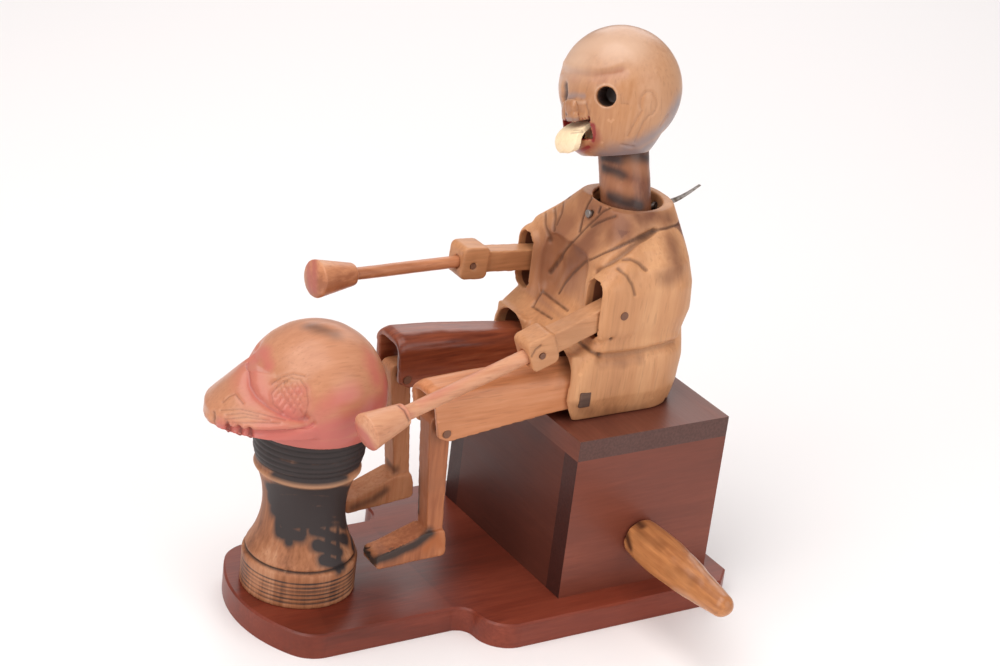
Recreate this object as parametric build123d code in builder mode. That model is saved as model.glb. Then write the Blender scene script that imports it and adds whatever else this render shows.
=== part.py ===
from build123d import *
from math import cos, radians, sin
import os

# Hand cranked wooden automaton: a seated drummer on a crank box, beating a fish shaped temple drum.
# Millimetres, +Z up. The figure faces -X and the crank grip points to -Y, the figure's left.
# The origin is the middle of the base board's underside.

# ---------------------------------------------------------------- fits
run_fit = 0.06            # radial play of what turns on a pin
set_fit = 0.02            # radial play of a pin or dowel that is glued in
side_play = 0.35          # sideways play of a limb between its cheeks

# ---------------------------------------------------------------- base board and crank box
base_length = 128.4
base_width = 73.6
base_thick = 6.7
nose_width = 47.6         # front part of the board, under the drum
nose_bow = 36.0           # radius of its rounded end
nose_corner = 9.0
ogee_start = -15.7        # where the board steps out to its full width
ogee_cove = 4.4
rear_corner = 5.2
base_edge = 0.5

box_front = 12.6
box_length = 46.0
box_width = 58.4
box_height = 45.0
lid_thick = 5.6
side_thick = 6.0
end_thick = 5.0
nail_radius = 0.7
nail_length = 14.0
nail_inset = 9.0

# ---------------------------------------------------------------- crank
crank_rise = 13.9         # axis above the base board
wire_radius = 1.2
throw_radius = 6.0
throw_width = 6.0
throw_share = 0.6         # outer throws stand this far out, as a share of the half width inside
throw_bend = 1.7
blind_depth = 4.0         # bearing hole in the right side board
grip_gap = 0.4
grip_length = 39.0
grip_root_radius = 5.2
grip_belly_radius = 5.5
grip_belly_at = 8.0
grip_tip_radius = 3.1
tang_depth = 12.0
collar_radius = 2.8
collar_length = 2.4
collar_gap = 0.3

# ---------------------------------------------------------------- drum and its stand
drum_x = -46.4
drum_y = 2.4
stand_height = 45.6
band_radius = 14.6
band_height = 9.2
stand_shoulder_radius = 13.9
stand_shoulder_rise = 10.7
waist_radius = 10.5
waist_rise = 24.0
ring_radius = 13.3
ring_rise = 34.0
rim_radius = 14.4
dowel_radius = 3.0
dowel_depth = 5.0

drum_radius = 18.2
drum_swell = 7.4          # widest level above the drum's sole
drum_sole_radius = 16.4
drum_wall = 3.6
beak_reach = 28.1         # drum axis to the lip
beak_half_width = 16.6
beak_rise = 3.6           # lip's underside above the sole
lip_thick = 3.4
beak_slope = 42.0         # degrees the beak leans back from upright
beak_height = 10.0

# ---------------------------------------------------------------- torso
hollow_half = 17.0
hollow_front = 28.6
hollow_back = 48.6
hollow_rise = 36.0
hip_core = 10.0           # solid wood between the hip sockets
hip_socket_rise = 17.8
hip_socket_back = 26.0
chest_core = 26.4         # solid wood between the sleeve sockets
sleeve_outer = 19.7
sleeve_back = 34.0
sleeve_low = 22.2
sleeve_high = 37.6
dowel_pin_radius = 1.2
dowel_pin_depth = 3.5
torso_foot_back = 52.0
slot_back = 47.0          # thread slot in the box lid
slot_width = 34.0
slot_corner = 3.0

# ---------------------------------------------------------------- legs
pin_radius = 1.1
hip_x = 17.3
hip_rise = 8.1            # above the seat
thigh_width = 12.4
left_thigh_length = 37.3  # hip pin to knee pin
right_thigh_length = 35.6
left_thigh_drop = 9.6     # degrees below level
right_thigh_drop = 4.0
thigh_wall = 1.7
thigh_tail = 5.4          # wood behind the hip pin
thigh_nose = 2.4          # wood ahead of the knee pin
thigh_hip_below = 4.5
thigh_hip_above = 5.6
thigh_knee_below = 2.4
thigh_knee_above = 11.6
thigh_middle_drop = 1.6   # how much lower the top is two thirds of the way
thigh_pocket = 13.0       # solid wood ahead of the hip pin

shin_length = 36.6        # knee pin to sole
shin_width = 5.4
shin_depth = 6.0
shin_top = 3.0            # wood above the knee pin
ankle_front = 0.8         # ahead of the knee line
ankle_rear = 3.6          # behind it
foot_width = 7.4
foot_reach = 15.6         # knee line to toes
heel_reach = 4.3
toe_height = 4.4
ankle_height = 7.6
left_shin_swing = 1.5     # degrees the whole shin hangs back
right_shin_swing = 4.5

# ---------------------------------------------------------------- arms and mallets
shoulder_x = 26.2
shoulder_rise = 29.3      # above the seat
arm_y = 16.8
arm_thick = 5.0
arm_length = 23.8         # shoulder pin to hand pin
left_arm_drop = 20.5
right_arm_drop = -4.5
arm_below = 2.4
arm_above = 3.4
arm_tail = 6.4
thread_at = 5.2           # thread hole behind the shoulder pin
thread_radius = 0.3
fist_thick = 7.4
fist_below = 3.8
fist_above = 5.0
fist_back = 4.6
fist_ahead = 3.4
fist_corner = 1.6
hand_pin_radius = 0.8

mallet_head = 12.0
mallet_face_radius = 4.8
mallet_neck_radius = 2.9
mallet_behind = 2.2       # stick behind the hand pin
left_stick_radius = 1.9
left_mallet_reach = 52.4  # hand pin to the striking face
left_mallet_drop = 12.0
left_mallet_turn = 8.1    # degrees towards the figure's left
left_mallet_seat = -0.5   # stick above the hand pin
right_stick_radius = 1.6
right_mallet_reach = 48.8
right_mallet_drop = -4.3
right_mallet_turn = 8.6
right_mallet_seat = 0.2

# ---------------------------------------------------------------- head
neck_x = 38.0
neck_pin_rise = 48.3      # above the seat
head_lean = 18.5          # degrees to the figure's right
neck_hole_radius = 8.9
neck_radius = 6.5
neck_below = 13.0         # neck under its pin
neck_plug = 1.9           # neck inside the head
neck_room_half = 12.4
neck_room_top = 94.6
nail_radius_neck = 0.7
nail_head_radius = 1.1
nail_head_thick = 0.8
nail_front = 26.9
nail_bend = 45.6          # where it turns up, inside the collar
nail_tail = 15.6
nail_kick = 17.0          # degrees the tail is bent up

skull_radius = 15.7
skull_rise = 31.1         # neck pin to the skull's middle
chin_rise = 14.5
eye_radius = 2.5
eye_depth = 10.0
eye_turn = 42.0
eye_rise = 29.6
mouth_width = 12.4
mouth_low = 19.2
mouth_high = 24.4
nose_rise = 26.2
nose_height = 4.4
nose_breadth = 6.0
nose_reach = 16.2         # neck axis to the nose

tongue_pin_ahead = 10.0   # tongue pin ahead of the neck axis
tongue_pin_rise = 17.8
tongue_pin_radius = 0.6
tongue_pin_half = 7.4
tongue_outer = 7.4        # radius of the tongue's curve about its pin
tongue_thick = 1.6
tongue_width = 9.6
tongue_tip = -14.0        # degrees round the pin, from straight ahead
tongue_end = 104.0
tongue_lever = 74.0       # where the lever to the pin begins
lever_half = 1.5
tongue_hub = 1.5
tongue_room = 0.4

# ---------------------------------------------------------------- derived places
base_top = base_thick
seat = base_top + box_height
box_back = box_front + box_length
box_inner = box_width / 2 - side_thick
throw_spacing = throw_share * box_inner
crank_x = box_front + box_length / 2
crank_z = base_top + crank_rise
leg_y = hip_core / 2 + side_play + thigh_width / 2
hip_z = seat + hip_rise
shoulder_z = seat + shoulder_rise
neck_z = seat + neck_pin_rise
torso_sides = (("left", -1), ("right", 1))

os.makedirs("parts", exist_ok=True)


def save(piece, name):
    piece.label = name
    export_step(piece, f"parts/{name}.step")
    print(name, "solids", len(piece.solids()), "volume", round(piece.volume, 1))


def side_view(x, y, z, drop):
    """Plane in a side view: its x runs forward along a limb that drops by an angle, its y up."""
    along = (-cos(radians(drop)), 0, -sin(radians(drop)))
    return Plane(origin=(x, y, z), x_dir=along, z_dir=(0, 1, 0))


def limb_point(x, z, drop, ahead, above=0.0):
    """Point in a side view at a distance ahead along a dropped limb and above its line."""
    c = cos(radians(drop))
    s = sin(radians(drop))
    return x - ahead * c - above * s, z - ahead * s + above * c


def cross_pin(x, z, y_from, y_to, radius):
    """Round pin lying across the figure."""
    with BuildPart() as pin:
        with BuildSketch(Plane(origin=(x, y_from, z), x_dir=(1, 0, 0), z_dir=(0, 1, 0))):
            Circle(radius)
        extrude(amount=y_to - y_from)
    return pin.part


# ================================================================ base board
nose_x = -base_length / 2
nose_half = nose_width / 2
bow_depth = nose_bow - (nose_bow**2 - nose_half**2) ** 0.5
swell = base_width / 2 - nose_half - ogee_cove
cove_x = ogee_start + ogee_cove
cove_y = nose_half + ogee_cove
rear_x = base_length / 2
with BuildPart() as base_board:
    with BuildSketch(Plane.XY) as half_outline:
        with BuildLine():
            Polyline((nose_x, 0), (rear_x, 0), (rear_x, -base_width / 2 + rear_corner))
            Line((rear_x, -base_width / 2 + rear_corner), (rear_x - rear_corner, -base_width / 2))
            Line((rear_x - rear_corner, -base_width / 2), (cove_x + swell, -base_width / 2))
            RadiusArc((cove_x + swell, -base_width / 2), (cove_x, -cove_y), swell)
            RadiusArc((cove_x, -cove_y), (ogee_start, -nose_half), -ogee_cove)
            Line((ogee_start, -nose_half), (nose_x + bow_depth, -nose_half))
            RadiusArc((nose_x + bow_depth, -nose_half), (nose_x, 0), nose_bow)
        make_face()
        fillet(half_outline.vertices().sort_by_distance((nose_x + bow_depth, -nose_half))[0], nose_corner)
        mirror(about=Plane.XZ)
    extrude(amount=base_thick)
    chamfer(base_board.faces().sort_by(Axis.Z)[-1].edges(), base_edge)
    with Locations((drum_x, drum_y, base_top)):
        Hole(dowel_radius + set_fit, depth=dowel_depth)
    nail_y = box_width / 2 - side_thick / 2
    nail_spots = [
        (x, y, 0) for x in (box_front + nail_inset, box_back - nail_inset) for y in (-nail_y, nail_y)
    ]
    with Locations(*nail_spots):
        Cylinder(
            nail_radius + set_fit, base_thick * 3, align=(Align.CENTER, Align.CENTER, Align.CENTER),
            mode=Mode.SUBTRACT,
        )
save(base_board.part, "base_board")

# Wire nails driven up through the base board into the side boards.
with BuildPart() as base_nails:
    with Locations(*nail_spots):
        Cylinder(nail_radius, nail_length, align=(Align.CENTER, Align.CENTER, Align.MIN))
save(base_nails.part, "base_nails")

# ================================================================ crank box
board_height = box_height - lid_thick
for name, side in torso_sides:
    with BuildPart() as side_board:
        with BuildSketch(Plane.XY.offset(base_top)):
            with Locations((crank_x, side * (box_width / 2 - side_thick / 2))):
                Rectangle(box_length, side_thick)
        extrude(amount=board_height)
        for x, y, z in nail_spots:
            if y * side > 0:
                with Locations((x, y, base_top)):
                    Cylinder(
                        nail_radius + set_fit, (nail_length - base_thick) * 2, mode=Mode.SUBTRACT
                    )
        inner_y = side * box_inner
        depth = side_thick if side < 0 else blind_depth
        with BuildSketch(Plane(origin=(crank_x, inner_y, crank_z), x_dir=(1, 0, 0), z_dir=(0, side, 0))):
            Circle(wire_radius + run_fit)
        extrude(amount=depth, mode=Mode.SUBTRACT)
    save(side_board.part, f"{name}_side_board")

for name, x in (("front_board", box_front), ("back_board", box_back - end_thick)):
    with BuildPart() as end_board:
        with BuildSketch(Plane.XY.offset(base_top)):
            with Locations((x + end_thick / 2, 0)):
                Rectangle(end_thick, 2 * box_inner)
        extrude(amount=board_height)
    save(end_board.part, name)

dowel_spots = [(hip_socket_back - 5.0, 0, seat), ((hollow_back + torso_foot_back) / 2, 0, seat)]
with BuildPart() as box_lid:
    with BuildSketch(Plane.XY.offset(seat - lid_thick)):
        with Locations((crank_x, 0)):
            Rectangle(box_length, box_width)
        with Locations(((hollow_front + slot_back) / 2, 0)):
            RectangleRounded(slot_back - hollow_front, slot_width, slot_corner, mode=Mode.SUBTRACT)
    extrude(amount=lid_thick)
    with Locations(*dowel_spots):
        Cylinder(dowel_pin_radius + set_fit, 2 * dowel_pin_depth, mode=Mode.SUBTRACT)
save(box_lid.part, "box_lid")

# Two small dowels that hold the torso on the lid.
with BuildPart() as torso_dowels:
    with Locations(*dowel_spots):
        Cylinder(dowel_pin_radius, 2 * dowel_pin_depth)
save(torso_dowels.part, "torso_dowels")

# ================================================================ crank
outer_y = -box_width / 2
grip_y = outer_y - grip_gap
shaft_path = [(crank_x, grip_y - tang_depth, crank_z)]
throws = ((-throw_spacing, 180.0), (0.0, 90.0), (throw_spacing, 0.0))
for y, turn in throws:
    dx = throw_radius * cos(radians(turn))
    dz = throw_radius * sin(radians(turn))
    shaft_path.append((crank_x, y - throw_width / 2, crank_z))
    shaft_path.append((crank_x + dx, y - throw_width / 2, crank_z + dz))
    shaft_path.append((crank_x + dx, y + throw_width / 2, crank_z + dz))
    shaft_path.append((crank_x, y + throw_width / 2, crank_z))
shaft_path.append((crank_x, box_inner + blind_depth - collar_gap, crank_z))
with BuildPart() as crankshaft:
    with BuildLine() as shaft_line:
        FilletPolyline(*shaft_path, radius=throw_bend)
    with BuildSketch(Plane(origin=shaft_path[0], x_dir=(1, 0, 0), z_dir=(0, 1, 0))):
        Circle(wire_radius)
    sweep()
save(crankshaft.part, "crankshaft")

with BuildPart() as shaft_collars:
    for start in (-box_inner + collar_gap, box_inner - collar_gap - collar_length):
        with BuildSketch(Plane(origin=(crank_x, start, crank_z), x_dir=(1, 0, 0), z_dir=(0, 1, 0))):
            Circle(collar_radius)
            Circle(wire_radius + set_fit, mode=Mode.SUBTRACT)
        extrude(amount=collar_length)
save(shaft_collars.part, "shaft_collars")

with BuildPart() as crank_grip:
    with BuildSketch(Plane(origin=(crank_x, grip_y, crank_z), x_dir=(0, -1, 0), z_dir=(1, 0, 0))):
        tip_at = grip_length - grip_tip_radius
        with BuildLine():
            Line((0, 0), (0, grip_root_radius))
            Spline(
                (0, grip_root_radius), (grip_belly_at, grip_belly_radius), (tip_at, grip_tip_radius),
                tangents=((1, 0.08), (1, -0.13)),
            )
            ThreePointArc(
                (tip_at, grip_tip_radius),
                (tip_at + grip_tip_radius * cos(radians(45)), grip_tip_radius * sin(radians(45))),
                (grip_length, 0),
            )
            Line((grip_length, 0), (0, 0))
        make_face()
    revolve(axis=Axis((crank_x, 0, crank_z), (0, 1, 0)))
    with BuildSketch(Plane(origin=(crank_x, grip_y, crank_z), x_dir=(1, 0, 0), z_dir=(0, -1, 0))):
        Circle(wire_radius + set_fit)
    extrude(amount=tang_depth, mode=Mode.SUBTRACT)
save(crank_grip.part, "crank_grip")

# ================================================================ drum stand and drum
stand_axis = Axis((drum_x, drum_y, 0), (0, 0, 1))
stand_view = Plane(origin=(drum_x, drum_y, base_top), x_dir=(1, 0, 0), z_dir=(0, -1, 0))
drum_sole = base_top + stand_height
with BuildPart() as drum_stand:
    with BuildSketch(stand_view):
        with BuildLine():
            Polyline(
                (0, 0), (band_radius, 0), (band_radius, band_height),
                (stand_shoulder_radius, band_height + 0.5),
                (stand_shoulder_radius, stand_shoulder_rise),
            )
            ThreePointArc(
                (stand_shoulder_radius, stand_shoulder_rise), (waist_radius, waist_rise),
                (ring_radius - 0.5, ring_rise - 1.0),
            )
            Polyline(
                (ring_radius - 0.5, ring_rise - 1.0), (ring_radius, ring_rise - 0.6),
                (ring_radius, ring_rise),
                (ring_radius - 0.4, ring_rise + 0.5), (rim_radius - 0.5, ring_rise + 4.0),
                (rim_radius, stand_height), (0, stand_height), (0, 0),
            )
        make_face()
    revolve(axis=stand_axis)
    for level in (base_top, drum_sole):
        with Locations((drum_x, drum_y, level)):
            Cylinder(dowel_radius + set_fit, 2 * dowel_depth, mode=Mode.SUBTRACT)
save(drum_stand.part, "drum_stand")

for name, level in (("stand_dowel", base_top), ("drum_dowel", drum_sole)):
    with BuildPart() as dowel:
        with Locations((drum_x, drum_y, level)):
            Cylinder(dowel_radius, 2 * (dowel_depth - 0.2))
    save(dowel.part, name)

swell_z = drum_sole + drum_swell
with BuildPart() as fish_drum:
    with BuildSketch(Plane(origin=(drum_x, drum_y, drum_sole), x_dir=(1, 0, 0), z_dir=(0, -1, 0))):
        with BuildLine():
            Line((0, 0), (drum_sole_radius, 0))
            ThreePointArc(
                (drum_sole_radius, 0), (drum_radius - 0.5, drum_swell / 2), (drum_radius, drum_swell),
            )
            ThreePointArc(
                (drum_radius, drum_swell),
                (drum_radius * cos(radians(45)), drum_swell + drum_radius * sin(radians(45))),
                (0, drum_swell + drum_radius),
            )
            Line((0, drum_swell + drum_radius), (0, 0))
        make_face()
    revolve(axis=stand_axis)
    for height, taper in ((lip_thick, 0), (beak_height, beak_slope)):
        with BuildSketch(Plane.XY.offset(drum_sole + beak_rise + (0 if taper == 0 else lip_thick))):
            with Locations((drum_x - beak_reach / 2 + 7.0, drum_y)):
                Ellipse(beak_reach / 2 + 7.0, beak_half_width)
        extrude(amount=height, taper=taper)
    with Locations((drum_x, drum_y, drum_sole)):
        Cylinder(dowel_radius + set_fit, 2 * dowel_depth, mode=Mode.SUBTRACT)
    with Locations((drum_x, drum_y, swell_z + 1.5)):
        Sphere(drum_radius - drum_wall - 1.5, mode=Mode.SUBTRACT)
save(fish_drum.part, "fish_drum")

# ================================================================ torso
# Front, back and half width of the robe at each height, and its front and back corner radii.
robe_levels = (
    (seat, 15.0, torso_foot_back, 18.8, 3.0, 12.0),
    (58.0, 13.6, 52.6, 20.6, 4.0, 13.0),
    (65.0, 14.2, 53.0, 21.0, 4.0, 13.0),
    (69.0, 15.8, 52.0, 20.8, 4.0, 12.0),
    (73.0, 20.2, 51.4, 20.6, 4.0, 12.0),
    (78.5, 20.7, 52.6, 21.3, 4.0, 12.0),
    (86.0, 20.6, 51.4, 21.6, 4.0, 11.0),
    (92.0, 22.0, 50.2, 20.4, 5.0, 11.0),
    (97.0, 26.0, 49.6, 16.4, 6.0, 10.0),
    (103.5, 28.4, 49.2, 10.6, 6.0, 9.0),
)
collar_z = robe_levels[-1][0]
pin_inner = 1.0
shoulder_pin_reach = 21.6
hip_pin_reach = 21.0
with BuildPart() as torso:
    for level, front, back, half, front_corner, back_corner in robe_levels:
        with BuildSketch(Plane.XY.offset(level)) as robe_section:
            with Locations(((front + back) / 2, 0)):
                Rectangle(back - front, 2 * half)
            fillet(robe_section.vertices().group_by(Axis.X)[0], front_corner)
            fillet(robe_section.vertices().group_by(Axis.X)[-1], back_corner)
    loft(ruled=True)
    for side in (-1, 1):
        with Locations((hip_socket_back, side * leg_y, seat)):
            Box(
                hip_socket_back, thigh_width + 2 * side_play, hip_socket_rise * 2,
                align=(Align.MAX, Align.CENTER, Align.CENTER), mode=Mode.SUBTRACT,
            )
        with Locations((sleeve_back, side * (chest_core / 2 + sleeve_outer) / 2, seat + sleeve_low)):
            Box(
                sleeve_back, sleeve_outer - chest_core / 2, sleeve_high - sleeve_low,
                align=(Align.MAX, Align.CENTER, Align.MIN), mode=Mode.SUBTRACT,
            )
    with BuildSketch(Plane.XY.offset(seat)):
        with Locations(((hollow_front + hollow_back) / 2, 0)):
            RectangleRounded(hollow_back - hollow_front, 2 * hollow_half, slot_corner)
    extrude(amount=hollow_rise, mode=Mode.SUBTRACT)
    with BuildSketch(Plane.XY.offset(seat + hollow_rise - 1.0)):
        with Locations((neck_x, 0)):
            RectangleRounded(2 * neck_hole_radius, 2 * neck_room_half, neck_hole_radius - 0.4)
    extrude(amount=neck_room_top - seat - hollow_rise + 1.0, mode=Mode.SUBTRACT)
    with Locations((neck_x, 0, collar_z)):
        Cylinder(neck_hole_radius, 2 * (collar_z - neck_room_top + 1.0), mode=Mode.SUBTRACT)
    with BuildSketch(Plane(origin=(0, 0, neck_z), x_dir=(0, 1, 0), z_dir=(1, 0, 0))):
        Circle(nail_radius_neck + set_fit)
    extrude(amount=nail_bend, mode=Mode.SUBTRACT)
    with BuildSketch(Plane(origin=(nail_front, 0, neck_z), x_dir=(0, 1, 0), z_dir=(-1, 0, 0))):
        Circle(nail_head_radius + set_fit)
    extrude(amount=nail_front, mode=Mode.SUBTRACT)
    tail_way = (cos(radians(nail_kick)), 0, sin(radians(nail_kick)))
    with BuildSketch(Plane(origin=(nail_bend, 0, neck_z), x_dir=(0, 1, 0), z_dir=tail_way)):
        Circle(nail_radius_neck + set_fit)
    extrude(amount=nail_tail, mode=Mode.SUBTRACT)
    with Locations(*dowel_spots):
        Cylinder(dowel_pin_radius + set_fit, 2 * dowel_pin_depth, mode=Mode.SUBTRACT)
    for side in (-1, 1):
        for x, z in ((hip_x, hip_z), (shoulder_x, shoulder_z)):
            with BuildSketch(Plane(origin=(x, side * pin_inner, z), x_dir=(1, 0, 0), z_dir=(0, side, 0))):
                Circle(pin_radius + set_fit)
            extrude(amount=30.0, mode=Mode.SUBTRACT)
save(torso.part, "torso")

# Shoulder and hip pins go in from both sides and meet solid wood in the middle.
for name, side in torso_sides:
    for kind, x, z, outer in (
        ("shoulder", shoulder_x, shoulder_z, shoulder_pin_reach), ("hip", hip_x, hip_z, hip_pin_reach),
    ):
        with BuildPart() as pin:
            with BuildSketch(Plane(origin=(x, side * pin_inner, z), x_dir=(1, 0, 0), z_dir=(0, side, 0))):
                Circle(pin_radius)
            extrude(amount=outer - pin_inner)
        save(pin.part, f"{name}_{kind}_pin")

# ================================================================ legs
legs = (
    ("left", -1, left_thigh_length, left_thigh_drop, left_shin_swing),
    ("right", 1, right_thigh_length, right_thigh_drop, right_shin_swing),
)
for name, side, thigh_length, drop, swing in legs:
    y = side * leg_y
    with BuildPart() as thigh:
        with BuildSketch(side_view(hip_x, y, hip_z, drop)) as thigh_shape:
            Polygon(
                (-thigh_tail, -thigh_hip_below + 1.5), (-thigh_tail, thigh_hip_above - 1.0),
                (0, thigh_hip_above), (thigh_length * 0.66, thigh_knee_above - thigh_middle_drop),
                (thigh_length, thigh_knee_above), (thigh_length + thigh_nose, thigh_knee_above - 0.6),
                (thigh_length + thigh_nose, -0.6), (thigh_length - 0.4, -thigh_knee_below),
                (0, -thigh_hip_below), align=None,
            )
            fillet(thigh_shape.vertices(), 1.0)
        extrude(amount=thigh_width / 2, both=True)
        with BuildSketch(side_view(hip_x, y, hip_z, drop)):
            Polygon(
                (thigh_pocket, -12.0), (thigh_pocket, 4.0),
                (thigh_length * 0.66, thigh_knee_above - thigh_middle_drop - 2.0),
                (thigh_length + 8.0, thigh_knee_above - 2.0), (thigh_length + 8.0, -12.0), align=None,
            )
        extrude(amount=thigh_width / 2 - thigh_wall, both=True, mode=Mode.SUBTRACT)
        with BuildSketch(side_view(hip_x, y, hip_z, drop)):
            Circle(pin_radius + run_fit)
            with Locations((thigh_length, 0)):
                Circle(pin_radius + set_fit)
        extrude(amount=thigh_width, both=True, mode=Mode.SUBTRACT)
    save(thigh.part, f"{name}_thigh")

    knee_x, knee_z = limb_point(hip_x, hip_z, drop, thigh_length)
    with BuildPart() as knee_pin:
        with BuildSketch(side_view(knee_x, y, knee_z, 0)):
            Circle(pin_radius)
        extrude(amount=thigh_width / 2, both=True)
    save(knee_pin.part, f"{name}_knee_pin")

    # Straight shank leaning back to the ankle, on a flat foot that points forward.
    with BuildPart() as shin:
        with BuildSketch(side_view(knee_x, y, knee_z, swing)) as shank_shape:
            Polygon(
                (-shin_depth / 2, shin_top), (shin_depth / 2, shin_top),
                (ankle_front, toe_height - shin_length), (-ankle_rear, toe_height - shin_length), align=None,
            )
            fillet(shank_shape.vertices().group_by(Axis.Z)[-1], 1.6)
        extrude(amount=shin_width / 2, both=True)
        with BuildSketch(side_view(knee_x, y, knee_z, swing)) as foot_shape:
            Polygon(
                (foot_reach, -shin_length), (foot_reach, toe_height - 0.8 - shin_length),
                (foot_reach - 4.0, toe_height - shin_length),
                (ankle_front + 0.6, ankle_height - shin_length), (-ankle_rear, ankle_height - shin_length),
                (-heel_reach, toe_height - shin_length), (-heel_reach, -shin_length), align=None,
            )
            fillet(foot_shape.vertices().group_by(Axis.Z)[0], 1.2)
        extrude(amount=foot_width / 2, both=True)
        with BuildSketch(side_view(knee_x, y, knee_z, swing)):
            Circle(pin_radius + run_fit)
        extrude(amount=foot_width, both=True, mode=Mode.SUBTRACT)
    save(shin.part, f"{name}_shin")

# ================================================================ arms and mallets
arms = (
    ("left", -1, left_arm_drop, left_stick_radius, left_mallet_reach, left_mallet_drop,
     -left_mallet_turn, left_mallet_seat),
    ("right", 1, right_arm_drop, right_stick_radius, right_mallet_reach, right_mallet_drop,
     -right_mallet_turn, right_mallet_seat),
)
for name, side, drop, stick, reach, fall, turn, lift in arms:
    y = side * arm_y
    hand_x, hand_z = limb_point(shoulder_x, shoulder_z, drop, arm_length)
    forward = Vector(
        -cos(radians(fall)) * cos(radians(turn)),
        cos(radians(fall)) * sin(radians(turn)),
        -sin(radians(fall)),
    )
    grasp = Vector(hand_x, y, hand_z + lift)
    sideways = Vector(forward.Y, -forward.X, 0)
    stick_view = Plane(
        origin=grasp - forward * mallet_behind, x_dir=forward, z_dir=sideways.cross(forward).normalized()
    )
    stick_end = Plane(origin=grasp - forward * mallet_behind, x_dir=sideways, z_dir=forward)
    with BuildPart() as arm:
        with BuildSketch(side_view(shoulder_x, y, shoulder_z, drop)) as arm_shape:
            Polygon(
                (-arm_tail, -1.6), (-arm_tail, 1.8), (-2.6, arm_above - 0.6), (2.0, arm_above),
                (arm_length - fist_back + 1.0, arm_above), (arm_length - fist_back + 1.0, -arm_below),
                (-2.6, -arm_below), align=None,
            )
        extrude(amount=arm_thick / 2, both=True)
        with BuildSketch(side_view(shoulder_x, y, shoulder_z, drop)) as fist_shape:
            Polygon(
                (arm_length - fist_back, -fist_below), (arm_length - fist_back, fist_above),
                (arm_length + fist_ahead, fist_above), (arm_length + fist_ahead, -fist_below), align=None,
            )
            fillet(fist_shape.vertices(), fist_corner)
        extrude(amount=fist_thick / 2, both=True)
        with BuildSketch(side_view(shoulder_x, y, shoulder_z, drop)):
            Circle(pin_radius + run_fit)
            with Locations((-thread_at, 0)):
                Circle(thread_radius + run_fit)
            with Locations((arm_length, 0)):
                Circle(hand_pin_radius + set_fit)
        extrude(amount=fist_thick, both=True, mode=Mode.SUBTRACT)
        with BuildSketch(stick_end):
            Circle(stick + set_fit)
        extrude(amount=reach, mode=Mode.SUBTRACT)
    save(arm.part, f"{name}_arm")

    with BuildPart() as hand_pin:
        with BuildSketch(side_view(hand_x, y, hand_z, 0)):
            Circle(hand_pin_radius)
        extrude(amount=fist_thick / 2, both=True)
    save(hand_pin.part, f"{name}_hand_pin")

    length = mallet_behind + reach
    with BuildPart() as mallet:
        with BuildSketch(stick_view):
            with BuildLine():
                Polyline(
                    (0, 0), (0, stick), (length - mallet_head, stick),
                    (length - mallet_head, mallet_neck_radius), (length - 0.8, mallet_face_radius),
                )
                Spline(
                    (length - 0.8, mallet_face_radius), (length - 0.2, mallet_face_radius * 0.6),
                    (length, 0),
                    tangents=((0.4, -1), (0, -1)),
                )
                Line((length, 0), (0, 0))
            make_face()
        revolve(axis=Axis(stick_view.origin, forward))
        with BuildSketch(side_view(hand_x, y, hand_z, 0)):
            Circle(hand_pin_radius + set_fit)
        extrude(amount=fist_thick, both=True, mode=Mode.SUBTRACT)
    save(mallet.part, f"{name}_mallet")

# ================================================================ head
lean_y = sin(radians(head_lean))
lean_z = cos(radians(head_lean))


def head_level(rise):
    """Plane square to the leaning neck at a height above its pin, x pointing back."""
    return Plane(
        origin=(neck_x, rise * lean_y, neck_z + rise * lean_z), x_dir=(1, 0, 0), z_dir=(0, lean_y, lean_z)
    )


# Side view of the head through its middle: x forward, y up the neck.
head_side = Plane(origin=(neck_x, 0, neck_z), x_dir=(-1, 0, 0), z_dir=(0, lean_z, -lean_y))
neck_top = chin_rise + neck_plug
with BuildPart() as neck_post:
    with BuildSketch(head_level(-neck_below)):
        Circle(neck_radius)
    extrude(amount=neck_below + neck_top)
    with BuildSketch(Plane(origin=(0, 0, neck_z), x_dir=(0, 1, 0), z_dir=(1, 0, 0))):
        Circle(nail_radius_neck + run_fit)
    extrude(amount=80.0, mode=Mode.SUBTRACT)
save(neck_post.part, "neck_post")

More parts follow.
